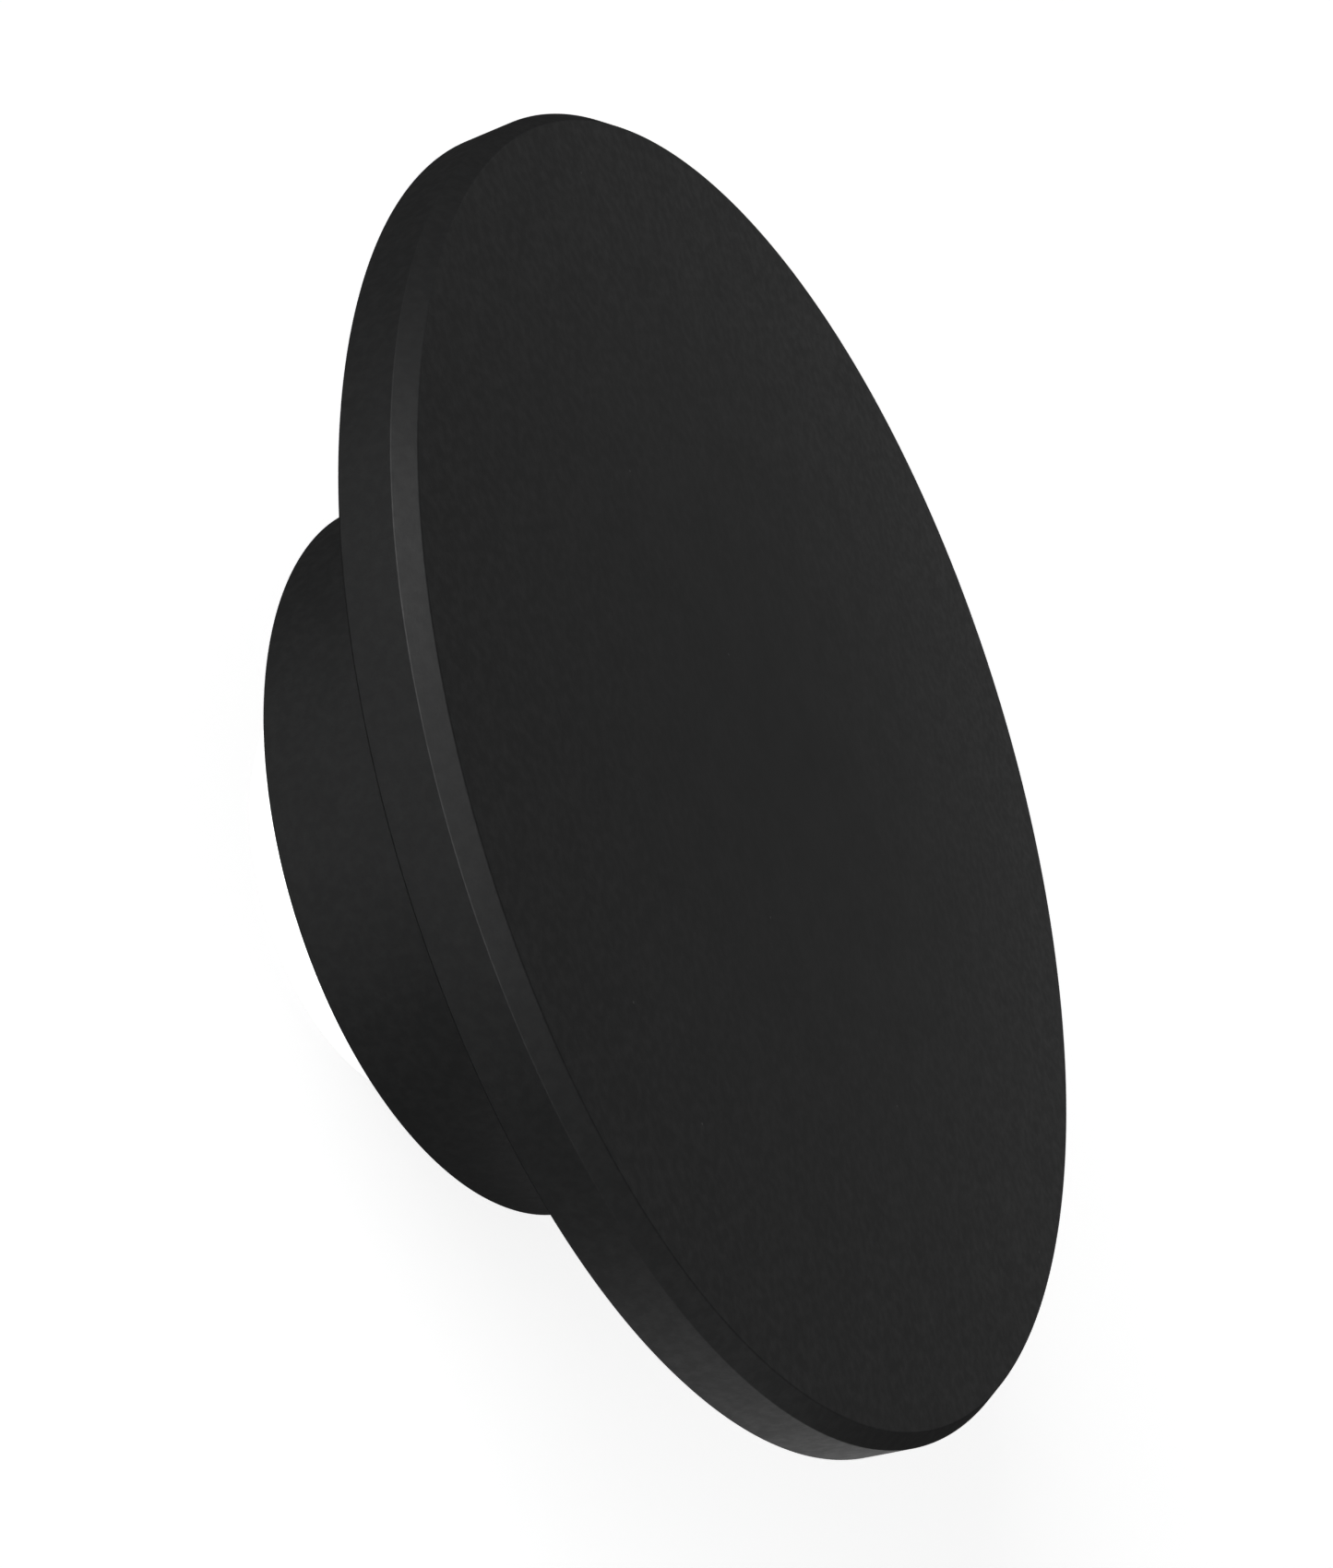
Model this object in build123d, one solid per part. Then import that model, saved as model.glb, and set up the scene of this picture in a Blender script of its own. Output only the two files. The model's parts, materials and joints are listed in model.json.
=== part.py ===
from build123d import *

import os
from math import cos, radians, sin

# Push-push sink plunger: the moving plug of a 40 mm pop-up sink waste.
#
# A flat matte black disc with a chamfered front edge stands on a shorter black hub. The hub hides a
# click mechanism. Pressing the disc slides the plug down on a fixed spindle; two pins in an index ring
# run in a zig-zag track round the spindle, so the first press latches the plug down and the next one
# lets the spring lift it.
#
# Frame: millimetres, +Z up along the plunger's axis, from the seat towards the disc. The origin is the
# centre of the seat, the rubber washer's lower face. The model stands at rest with the plug popped up.
#
# Three bodies: the base (spindle, plate, guide cup, washer, spring) is fixed to the waste, the plug
# slides on it, and the index ring turns inside the plug.

# ---- driving dimensions -------------------------------------------------------------------------
DISC_RADIUS = 33.0
DISC_THICKNESS = 3.55
CHAMFER_WIDTH = 0.65  # radial size of the front chamfer
CHAMFER_DEPTH = 0.9  # axial size of the front chamfer
RIM_BACK_BREAK = 0.12

HUB_RADIUS = 18.6
HUB_LENGTH = 14.4  # from the disc's back to the hub's open end
HUB_WALL = 1.45
HUB_END_BREAK = 0.15

TRAVEL = 6.0  # full press
LATCHED = 5.0  # how far down the latched plug stays
STROKE_TURN = 45.0  # degrees that the index ring turns in one full press

SPINDLE_RADIUS = 5.0
SPINDLE_BORE_RADIUS = 3.0  # M6 tapped hole, at its major radius
SPINDLE_BORE_DEPTH = 9.0
SPINDLE_END_BREAK = 0.3
PIN_RADIUS = 0.7
PIN_FIT = 0.01  # between a pin and its hole in the index ring
TRACK_CLEARANCE = 0.05
TRACK_FLOOR_RADIUS = 3.9
TRACK_REACH_RADIUS = SPINDLE_RADIUS + 0.6  # outer radius of the track's cuts, outside the spindle

SPRING_WIRE_RADIUS = 0.6
SPRING_MEAN_RADIUS = 11.6
SPRING_TURNS = 4.5
SPRING_END_GAP = 0.02  # between the spring's ends and its seats

# ---- base, from the seat up ---------------------------------------------------------------------
WASHER_THICKNESS = 1.6
WASHER_INNER, WASHER_OUTER = 7.3, 11.0
NUT_THICKNESS = 1.2
NUT_ACROSS_FLATS = 12.0
PLATE_THICKNESS = 0.8
BASE_RADIUS = 12.8
CUP_FLOOR = 0.8
CUP_INNER, CUP_OUTER = 9.45, 10.6
FLAT_OFFSET = 4.4  # from the axis to each flat of the spindle's double-D end
FIT_GAP = 0.05  # radial gap of the pieces that only locate each other
KEY_WIDTH, KEY_HEIGHT, KEY_TIP_RADIUS = 2.0, 1.4, 8.5
STOP_GAP = 0.15  # left under the barrel at full press
TOP_GAP = 0.2  # left over the cup, the keys and the spindle at full press

PLATE_Z = WASHER_THICKNESS
CUP_Z = PLATE_Z + PLATE_THICKNESS
FLOOR_TOP = CUP_Z + CUP_FLOOR
NUT_Z = PLATE_Z - NUT_THICKNESS

# ---- plug ---------------------------------------------------------------------------------------
BARREL_BOTTOM = FLOOR_TOP + STOP_GAP + TRAVEL
BARREL_HEIGHT = 7.7
BARREL_OUTER = 9.2
BARREL_THREAD_RADIUS = 6.3
BORE_RADIUS = 5.3  # every hole in the plug that the spindle passes
RING_SEAT_RADIUS = 7.3
DISC_BACK = BARREL_BOTTOM + BARREL_HEIGHT
DISC_FACE = DISC_BACK + DISC_THICKNESS
HUB_END = DISC_BACK - HUB_LENGTH

CIRCLIP_LAND = 0.5
CIRCLIP_THICKNESS = 0.5
CIRCLIP_GROOVE = 0.55
CIRCLIP_GROOVE_RADIUS = 7.9
CIRCLIP_INNER = 6.4
CIRCLIP_FIT = 0.05  # between the circlip and its groove's wall
CIRCLIP_OPENING = 34.0  # degrees
EAR_ANGLE = 25.0  # degrees from the opening's middle
EAR_CIRCLE, EAR_RADIUS, EAR_HOLE = 6.7, 0.9, 0.4
THRUST_WASHER = 0.2
WASHER_GAP = 0.1  # between the thrust washer and the walls on both its sides
WAVE_GAP = 0.2
RING_GAP = 0.1  # between the index ring and its seat
RING_HEIGHT = 2.45
WAVE_SPACE = 0.3
WAVE_WASHER = 0.25
WEB = 0.8
BOSS_GAP = 0.1  # between the disc's boss and the barrel's web
PIN_LAND = 0.2  # ring left under each pin
TRACK_ROOF = 0.6  # spindle left over the track's top

GROOVE_Z = BARREL_BOTTOM + CIRCLIP_LAND
THRUST_Z = GROOVE_Z + CIRCLIP_GROOVE
RING_Z = THRUST_Z + THRUST_WASHER
WAVE_Z = RING_Z + RING_HEIGHT
WEB_Z = WAVE_Z + WAVE_SPACE
BOSS_END = WEB_Z + WEB + BOSS_GAP
PIN_Z = RING_Z + PIN_RADIUS + PIN_LAND
SPINDLE_TOP = PIN_Z + PIN_RADIUS + TRACK_CLEARANCE + TRACK_ROOF
RECESS_TOP = SPINDLE_TOP + TRAVEL + TOP_GAP

SEAT_WASHER = 0.3
SEAT_WASHER_INNER, SEAT_WASHER_OUTER = 10.95, 12.6
CUP_RECESS = 1.3  # how far the cup's wall enters the disc's back at full press
CUP_RECESS_INNER, CUP_RECESS_OUTER = 9.2, 10.9
CUP_TOP = DISC_BACK + CUP_RECESS - TRAVEL - TOP_GAP
KEY_TOP = DISC_BACK - TRAVEL - TOP_GAP
SLOT_CLEARANCE = 0.15

REGISTER_HEIGHT = 1.5  # ring on the disc's back that centres the seal and stops the sleeve
REGISTER_INNER, REGISTER_OUTER = 12.9, 16.5
SLEEVE_TOP = DISC_BACK - REGISTER_HEIGHT
SLEEVE_INNER = HUB_RADIUS - HUB_WALL
SLEEVE_FLANGE = 1.3
SLEEVE_FLANGE_INNER = 13.0
CLAMP_WASHER = 0.4
CLAMP_INNER, CLAMP_OUTER = 16.6, 20.0
SEAL_OUTER = 24.6
# the seal's outline past the clamp: (inwards from its outer edge, down from the disc's back)
SEAL_LIP = [(2.2, 0.0), (0.3, 0.9), (0.0, 2.0), (0.7, 2.1), (2.4, 1.3), (4.3, 1.1)]

SCREW_COUNT = 3
SCREW_CIRCLE = 14.85
SCREW_RADIUS = 1.0
SCREW_HEAD_RADIUS, SCREW_HEAD_HEIGHT, SCREW_HEAD_BREAK = 1.75, 1.2, 0.15
SCREW_GRIP = 4.4  # under the head
SCREW_HOLE_RADIUS = 1.1
SCREW_HOLE_SPARE = 0.2  # depth of the tapped hole past the screw's end
HEX_RECESS, HEX_DEPTH = 0.87, 0.7
THREAD_GAP = 0.02  # a screw's plain shank in its plain hole

BACK_RING_THICKNESS = 1.2
BACK_RING_INNER = 13.1
COUNTERBORE_RADIUS = SLEEVE_INNER + 0.5
BACK_RING_RECESS = 0.2
DRAIN_COUNT, DRAIN_RADIUS, DRAIN_CIRCLE = 8, 0.8, 15.2

# The zig-zag track: (angle in degrees, travel below the rest position) of each turning point, for
# half a turn; the other half repeats it
TRACK = [(0.0, 0.0), (STROKE_TURN, TRAVEL), (75.0, LATCHED), (105.0, TRAVEL), (180.0, 0.0)]


# ---- helpers ------------------------------------------------------------------------------------
def at(angle, radius, z=0.0):
    """A location on a circle round the axis, turned so that its X points outwards."""
    return Pos(radius * cos(radians(angle)), radius * sin(radians(angle)), z) * Rot(0, 0, angle)


def tube(inner, outer, z, height):
    """A ring standing on z."""
    ring = Circle(outer) - Circle(inner) if inner else Circle(outer)
    return Pos(0, 0, z) * extrude(ring, height)


def turned(points):
    """A solid of revolution from its (radius, height) outline."""
    outline = Polyline(*[(r, 0, z) for r, z in points], close=True)
    return revolve(make_face(outline), Axis.Z)


def double_d(radius, offset):
    """A round section with two flats across X."""
    return Circle(radius) & Rectangle(2 * offset, 4 * radius)


def radial_pin(radius, inner, outer, angle, z):
    """A cylinder that lies along the radius at the given angle."""
    return at(angle, inner, z) * Rot(0, 90, 0) * extrude(Circle(radius), outer - inner)


# ---- plug ---------------------------------------------------------------------------------------
def cap_disc():
    """Disc with its front chamfer, the register ring and the hollow threaded boss on its back."""
    boss_radius = BARREL_THREAD_RADIUS - THREAD_GAP
    disc = turned(
        [
            (0, RECESS_TOP),
            (0, DISC_FACE),
            (DISC_RADIUS - CHAMFER_WIDTH, DISC_FACE),
            (DISC_RADIUS, DISC_FACE - CHAMFER_DEPTH),
            (DISC_RADIUS, DISC_BACK + RIM_BACK_BREAK),
            (DISC_RADIUS - RIM_BACK_BREAK, DISC_BACK),
            (REGISTER_OUTER, DISC_BACK),
            (REGISTER_OUTER, SLEEVE_TOP),
            (REGISTER_INNER, SLEEVE_TOP),
            (REGISTER_INNER, DISC_BACK),
            (CUP_RECESS_OUTER, DISC_BACK),
            (CUP_RECESS_OUTER, DISC_BACK + CUP_RECESS),
            (CUP_RECESS_INNER, DISC_BACK + CUP_RECESS),
            (CUP_RECESS_INNER, DISC_BACK),
            (boss_radius, DISC_BACK),
            (boss_radius, BOSS_END),
            (BORE_RADIUS, BOSS_END),
            (BORE_RADIUS, RECESS_TOP),
        ]
    )
    hole_depth = SCREW_GRIP - SLEEVE_FLANGE + SCREW_HOLE_SPARE
    hole = extrude(Circle(SCREW_RADIUS + THREAD_GAP), hole_depth)
    for i in range(SCREW_COUNT):
        disc -= at(i * 360 / SCREW_COUNT, SCREW_CIRCLE, SLEEVE_TOP) * hole
    return disc


def hub_sleeve():
    """Outer skin of the hub, with the inner flange that its screws pass through."""
    counterbore = HUB_END + BACK_RING_RECESS + BACK_RING_THICKNESS
    sleeve = turned(
        [
            (SLEEVE_FLANGE_INNER, SLEEVE_TOP),
            (HUB_RADIUS, SLEEVE_TOP),
            (HUB_RADIUS, HUB_END + HUB_END_BREAK),
            (HUB_RADIUS - HUB_END_BREAK, HUB_END),
            (COUNTERBORE_RADIUS, HUB_END),
            (COUNTERBORE_RADIUS, counterbore),
            (SLEEVE_INNER, counterbore),
            (SLEEVE_INNER, SLEEVE_TOP - SLEEVE_FLANGE),
            (SLEEVE_FLANGE_INNER, SLEEVE_TOP - SLEEVE_FLANGE),
        ]
    )
    hole = extrude(Circle(SCREW_HOLE_RADIUS), SLEEVE_FLANGE)
    for i in range(SCREW_COUNT):
        sleeve -= at(i * 360 / SCREW_COUNT, SCREW_CIRCLE, SLEEVE_TOP - SLEEVE_FLANGE) * hole
    return sleeve


def seal_ring():
    """Rubber seal, clamped behind the disc, with a lip that turns down to meet the waste's flange."""
    back = SLEEVE_TOP + CLAMP_WASHER
    return turned(
        [
            (CLAMP_INNER, back),
            (CLAMP_INNER, DISC_BACK),
            *[(SEAL_OUTER - inwards, DISC_BACK - down) for inwards, down in SEAL_LIP],
        ]
    )


def clamp_washer():
    """Steel washer between the sleeve and the seal, so that the rubber doesn't twist."""
    return tube(CLAMP_INNER, CLAMP_OUTER, SLEEVE_TOP, CLAMP_WASHER)


def sleeve_screws():
    """Socket-head screws that hold the sleeve to the disc."""
    head = extrude(Circle(SCREW_HEAD_RADIUS), -SCREW_HEAD_HEIGHT)
    head = chamfer(head.edges().group_by(Axis.Z)[0], SCREW_HEAD_BREAK)
    socket = Pos(0, 0, -SCREW_HEAD_HEIGHT) * extrude(RegularPolygon(HEX_RECESS, 6), HEX_DEPTH)
    screw = head - socket + extrude(Circle(SCREW_RADIUS), SCREW_GRIP)
    z = SLEEVE_TOP - SLEEVE_FLANGE
    return Compound([at(i * 360 / SCREW_COUNT, SCREW_CIRCLE, z) * screw for i in range(SCREW_COUNT)])


def back_ring():
    """Plastic ring that closes the hub's end round the base, with drain holes."""
    z = HUB_END + BACK_RING_RECESS
    ring = tube(BACK_RING_INNER, COUNTERBORE_RADIUS - FIT_GAP, z, BACK_RING_THICKNESS)
    drain = extrude(Circle(DRAIN_RADIUS), BACK_RING_THICKNESS)
    for i in range(DRAIN_COUNT):
        ring -= at((i + 0.5) * 360 / DRAIN_COUNT, DRAIN_CIRCLE, z) * drain
    return ring


def index_barrel():
    """Brass barrel, screwed on the disc's boss, that carries the index ring and slides in the cup."""
    barrel = turned(
        [
            (RING_SEAT_RADIUS, BARREL_BOTTOM),
            (BARREL_OUTER, BARREL_BOTTOM),
            (BARREL_OUTER, DISC_BACK),
            (BARREL_THREAD_RADIUS, DISC_BACK),
            (BARREL_THREAD_RADIUS, WEB_Z + WEB),
            (BORE_RADIUS, WEB_Z + WEB),
            (BORE_RADIUS, WEB_Z),
            (RING_SEAT_RADIUS, WEB_Z),
            (RING_SEAT_RADIUS, GROOVE_Z + CIRCLIP_GROOVE),
            (CIRCLIP_GROOVE_RADIUS, GROOVE_Z + CIRCLIP_GROOVE),
            (CIRCLIP_GROOVE_RADIUS, GROOVE_Z),
            (RING_SEAT_RADIUS, GROOVE_Z),
        ]
    )
    slot_depth = BARREL_OUTER - KEY_TIP_RADIUS + SLOT_CLEARANCE
    slot_section = Rectangle(2 * slot_depth, KEY_WIDTH + 2 * SLOT_CLEARANCE)
    slot = extrude(slot_section, BARREL_HEIGHT)
    for angle in (90, 270):
        barrel -= at(angle, BARREL_OUTER, BARREL_BOTTOM) * slot
    return barrel


def wave_washer():
    """Spring washer that loads the index ring."""
    return tube(BORE_RADIUS + WAVE_GAP, RING_SEAT_RADIUS - WAVE_GAP, WAVE_Z, WAVE_WASHER)


def thrust_washer():
    """Washer under the index ring."""
    inner, outer = BORE_RADIUS + WASHER_GAP, RING_SEAT_RADIUS - WASHER_GAP
    return tube(inner, outer, THRUST_Z, THRUST_WASHER)


def barrel_circlip():
    """Internal circlip, with an opening and two ears, that holds the index ring in the barrel."""
    outer = CIRCLIP_GROOVE_RADIUS - CIRCLIP_FIT
    gap_half = radians(CIRCLIP_OPENING / 2)
    reach = 2 * outer
    wedge = make_face(
        Polyline(
            (0, 0),
            (reach * cos(gap_half), reach * sin(gap_half)),
            (reach * cos(gap_half), -reach * sin(gap_half)),
            close=True,
        )
    )
    section = Circle(outer) - Circle(CIRCLIP_INNER) - wedge
    for angle in (-EAR_ANGLE, EAR_ANGLE):
        section += at(angle, EAR_CIRCLE) * Circle(EAR_RADIUS)
        section -= at(angle, EAR_CIRCLE) * Circle(EAR_HOLE)
    return Pos(0, 0, GROOVE_Z) * extrude(section, CIRCLIP_THICKNESS)


def spring_seat_washer():
    """Thin washer that the spring pushes on, behind the disc."""
    z = DISC_BACK - SEAT_WASHER
    return tube(SEAT_WASHER_INNER, SEAT_WASHER_OUTER, z, SEAT_WASHER)


# ---- index --------------------------------------------------------------------------------------
def index_ring():
    """Ring that turns in the barrel, with a hole for each pin."""
    outer = RING_SEAT_RADIUS - RING_GAP
    ring = tube(BORE_RADIUS - FIT_GAP, outer, RING_Z, RING_HEIGHT)
    for angle in (0, 180):
        ring -= radial_pin(PIN_RADIUS + PIN_FIT, SPINDLE_RADIUS, RING_SEAT_RADIUS, angle, PIN_Z)
    return ring


def index_pins():
    """Two pins in the index ring, with their tips in the spindle's track."""
    tip = TRACK_FLOOR_RADIUS + TRACK_CLEARANCE
    outer = RING_SEAT_RADIUS - RING_GAP - TRACK_CLEARANCE
    return Compound([radial_pin(PIN_RADIUS, tip, outer, angle, PIN_Z) for angle in (0, 180)])


# ---- base ---------------------------------------------------------------------------------------
def track_leg(start, end):
    """The cut of one straight leg of the zig-zag track: a slot swept along a helix."""
    (angle_a, down_a), (angle_b, down_b) = start, end
    low, high = (start, end) if down_a > down_b else (end, start)
    rise = abs(down_b - down_a)
    radial_reach = TRACK_REACH_RADIUS - TRACK_FLOOR_RADIUS
    helix = Helix(
        pitch=rise / abs(angle_b - angle_a) * 360,
        height=rise,
        radius=TRACK_FLOOR_RADIUS + radial_reach / 2,
        lefthand=high[0] < low[0],
    )
    plane = Plane(origin=helix @ 0, x_dir=(1, 0, 0), z_dir=helix % 0)
    width = 2 * (PIN_RADIUS + TRACK_CLEARANCE)
    leg = sweep(plane * Rectangle(radial_reach, width), path=helix, is_frenet=True)
    return Pos(0, 0, PIN_Z - low[1]) * Rot(0, 0, low[0]) * leg


def spindle():
    """Fixed brass spindle: zig-zag track above the cup's floor, double-D end with a tapped bore below."""
    neck = Pos(0, 0, NUT_Z) * extrude(double_d(SPINDLE_RADIUS, FLAT_OFFSET), FLOOR_TOP - NUT_Z)
    post = tube(0, SPINDLE_RADIUS, FLOOR_TOP, SPINDLE_TOP - FLOOR_TOP)
    post = chamfer(post.edges().group_by(Axis.Z)[-1], SPINDLE_END_BREAK)
    body = neck + post
    slot_radius = PIN_RADIUS + TRACK_CLEARANCE
    floor, reach = TRACK_FLOOR_RADIUS, TRACK_REACH_RADIUS
    for turn in (0, 180):
        for start, end in zip(TRACK, TRACK[1:]):
            body -= Rot(0, 0, turn) * track_leg(start, end)
            angle, down = end
            body -= radial_pin(slot_radius, floor, reach, angle + turn, PIN_Z - down)
    return body - tube(0, SPINDLE_BORE_RADIUS, NUT_Z, SPINDLE_BORE_DEPTH)


def spindle_nut():
    """Thin hexagon nut on the spindle's end, which clamps the plate and the cup to its shoulder."""
    section = RegularPolygon(NUT_ACROSS_FLATS / 2, 6, major_radius=False)
    return Pos(0, 0, NUT_Z) * extrude(section - Circle(SPINDLE_RADIUS + THREAD_GAP), NUT_THICKNESS)


def base_plate():
    """Steel plate between the guide cup and the spindle's nut."""
    hole = double_d(SPINDLE_RADIUS + FIT_GAP, FLAT_OFFSET + FIT_GAP)
    return Pos(0, 0, PLATE_Z) * extrude(Circle(BASE_RADIUS) - hole, PLATE_THICKNESS)


def guide_cup():
    """Plastic cup that guides the barrel and seats the spring, with two keys for the barrel's slots."""
    hole = double_d(SPINDLE_RADIUS + FIT_GAP, FLAT_OFFSET + FIT_GAP)
    floor = Pos(0, 0, CUP_Z) * extrude(Circle(BASE_RADIUS) - hole, CUP_FLOOR)
    cup = floor + tube(CUP_INNER, CUP_OUTER, FLOOR_TOP, CUP_TOP - FLOOR_TOP)
    key_root = (CUP_INNER + CUP_OUTER) / 2
    key = extrude(Rectangle(key_root - KEY_TIP_RADIUS, KEY_WIDTH), -KEY_HEIGHT)
    for angle in (90, 270):
        cup += at(angle, (key_root + KEY_TIP_RADIUS) / 2, KEY_TOP) * key
    return cup


def base_washer():
    """Rubber washer that the plunger stands on."""
    return tube(WASHER_INNER, WASHER_OUTER, 0, WASHER_THICKNESS)


def return_spring():
    """Compression spring round the guide cup."""
    low = FLOOR_TOP + SPRING_WIRE_RADIUS + SPRING_END_GAP
    high = DISC_BACK - SEAT_WASHER - SPRING_WIRE_RADIUS - SPRING_END_GAP
    helix = Helix(pitch=(high - low) / SPRING_TURNS, height=high - low, radius=SPRING_MEAN_RADIUS)
    wire = Plane(origin=helix @ 0, x_dir=(1, 0, 0), z_dir=helix % 0) * Circle(SPRING_WIRE_RADIUS)
    return Pos(0, 0, low) * sweep(wire, path=helix, is_frenet=True)


MAKERS = [
    cap_disc,
    hub_sleeve,
    seal_ring,
    clamp_washer,
    sleeve_screws,
    back_ring,
    index_barrel,
    wave_washer,
    thrust_washer,
    barrel_circlip,
    spring_seat_washer,
    index_ring,
    index_pins,
    spindle,
    spindle_nut,
    base_plate,
    guide_cup,
    base_washer,
    return_spring,
]

os.makedirs("parts", exist_ok=True)
for make in MAKERS:
    export_step(make(), os.path.join("parts", make.__name__ + ".step"))
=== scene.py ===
"""Looks of the push-push sink plunger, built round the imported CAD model, in metres, +Z towards the disc.

The CAD nodes that only need a better material keep their shape. The disc, hub, seal, drain ring, nut,
washers, screws and spring are replaced by detailed meshes of the same size: turned outlines with rounded
edges, real threads, ground spring ends.
"""

import json
from math import cos, pi, radians, sin, tan

import bmesh
import bpy
from mathutils import Matrix, Vector


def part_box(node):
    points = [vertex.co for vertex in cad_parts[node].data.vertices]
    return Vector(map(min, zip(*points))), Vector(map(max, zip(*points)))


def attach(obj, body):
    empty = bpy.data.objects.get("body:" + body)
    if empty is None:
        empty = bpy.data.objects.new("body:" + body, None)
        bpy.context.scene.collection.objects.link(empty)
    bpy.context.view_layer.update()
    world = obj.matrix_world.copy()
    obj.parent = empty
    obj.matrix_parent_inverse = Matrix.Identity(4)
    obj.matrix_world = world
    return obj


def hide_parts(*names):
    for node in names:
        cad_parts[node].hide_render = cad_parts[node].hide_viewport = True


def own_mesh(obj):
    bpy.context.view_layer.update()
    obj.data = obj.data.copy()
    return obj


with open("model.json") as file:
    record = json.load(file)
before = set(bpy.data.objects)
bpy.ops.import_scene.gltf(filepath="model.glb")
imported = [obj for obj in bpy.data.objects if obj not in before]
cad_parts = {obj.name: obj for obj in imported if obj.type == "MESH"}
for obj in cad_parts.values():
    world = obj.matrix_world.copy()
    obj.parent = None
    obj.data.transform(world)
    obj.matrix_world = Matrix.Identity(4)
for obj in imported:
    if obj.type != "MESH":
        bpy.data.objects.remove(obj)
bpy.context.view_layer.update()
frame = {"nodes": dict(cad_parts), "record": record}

MM = 0.001

# ---- sizes read from the frame ------------------------------------------------------------------
DISC_LOW, DISC_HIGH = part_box("cap_disc")
HUB_LOW, HUB_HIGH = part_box("hub_sleeve")
SEAL_LOW, SEAL_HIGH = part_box("seal_ring")
COVER_LOW, COVER_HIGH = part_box("back_ring")
FOOT_LOW, FOOT_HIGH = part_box("base_washer")
NUT_LOW, NUT_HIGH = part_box("spindle_nut")
SCREWS_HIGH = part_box("sleeve_screws")[1]
SPRING_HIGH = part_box("return_spring")[1]
SEAT_LOW, SEAT_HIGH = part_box("spring_seat_washer")
CUP_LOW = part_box("guide_cup")[0]
SPINDLE_LOW, SPINDLE_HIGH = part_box("spindle")
WAVE_LOW, WAVE_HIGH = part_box("wave_washer")

DISC_RADIUS = DISC_HIGH.x
DISC_FACE = DISC_HIGH.z
DISC_BACK = SEAT_HIGH.z
SLEEVE_TOP = HUB_HIGH.z
HUB_RADIUS = HUB_HIGH.x
HUB_END = HUB_LOW.z

# ---- sizes that a box doesn't give --------------------------------------------------------------
PLUG_TRAVEL = 6.0 * MM
CHAMFER_WIDTH, CHAMFER_DEPTH = 0.65 * MM, 0.9 * MM
RIM_BACK_BREAK = 0.12 * MM
REGISTER_INNER, REGISTER_OUTER = 12.9 * MM, 16.5 * MM
CUP_RECESS_INNER, CUP_RECESS_OUTER, CUP_RECESS = 9.2 * MM, 10.9 * MM, 1.3 * MM
BOSS_RADIUS, BORE_RADIUS = 6.28 * MM, 5.3 * MM
SPINDLE_ROOM = 6.2 * MM  # in the boss, over the spindle's top at rest
SLEEVE_WALL = 1.45 * MM
FLANGE_INNER, FLANGE_THICKNESS = 13.0 * MM, 1.3 * MM
CLAMP_WASHER, CLAMP_INNER = 0.4 * MM, 16.6 * MM
COVER_INNER, COVER_GAP = 13.1 * MM, 0.05 * MM
DRAIN_COUNT, DRAIN_RADIUS, DRAIN_CIRCLE = 8, 0.8 * MM, 15.2 * MM
SCREW_COUNT, SCREW_CIRCLE, SCREW_HOLE_RADIUS = 3, 14.85 * MM, 1.1 * MM
SCREW_RADIUS, SCREW_PITCH, SCREW_THREAD_DEPTH = 1.0 * MM, 0.4 * MM, 0.2 * MM
SCREW_HEAD_RADIUS, SCREW_HEAD_HEIGHT = 1.75 * MM, 1.2 * MM
HEX_RECESS, HEX_DEPTH = 0.87 * MM, 0.7 * MM
FOOT_INNER = 7.3 * MM
NUT_BORE = 5.02 * MM
CUP_FLOOR = 0.8 * MM
WIRE_RADIUS = 0.6 * MM

# ---- rounded edges ------------------------------------------------------------------------------
HUB_END_ROUND = 0.15 * MM
EDGE_ROUND = 0.11 * MM
SMALL_ROUND = 0.06 * MM

# ---- how the meshes are made --------------------------------------------------------------------
SHARP_ANGLE = 35  # degrees: edges sharper than this stay sharp
LONGEST_REACH = 0.45  # the share of a side that one rounded corner may take
CUT_SPARE = MM  # how far a cutter reaches past the piece

# ---- camera -------------------------------------------------------------------------------------
VIEW_ELEVATION = radians(25.1)  # of the camera over the disc's plane
VIEW_ROLL = radians(73.0)
VIEW_DISTANCE = 4.47  # from the disc's face along the view axis, in disc radii
FACE_RIGHT, FACE_UP = 0.186, 0.035  # where the face's centre lies in the view, in disc radii
LENS = 69.9  # mm


# ---- mesh helpers -------------------------------------------------------------------------------
def rounded(corners, steps=4):
    """An outline's points, with each corner (r, z, radius) rounded by an arc. True marks arc points."""
    points = []
    count = len(corners)
    for i, (r, z, radius) in enumerate(corners):
        here = Vector((r, z))
        before = Vector(corners[i - 1][:2]) - here
        after = Vector(corners[(i + 1) % count][:2]) - here
        if not radius:
            points.append((r, z, False))
            continue
        half = before.angle(after) / 2
        longest = LONGEST_REACH * min(before.length, after.length)
        reach = min(radius / tan(half), longest)
        start, end = here + before.normalized() * reach, here + after.normalized() * reach
        for k in range(steps + 1):
            t = k / steps
            bend = start * (1 - t) ** 2 + here * 2 * t * (1 - t) + end * t**2
            points.append((bend.x, bend.y, True))
    return points


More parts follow.
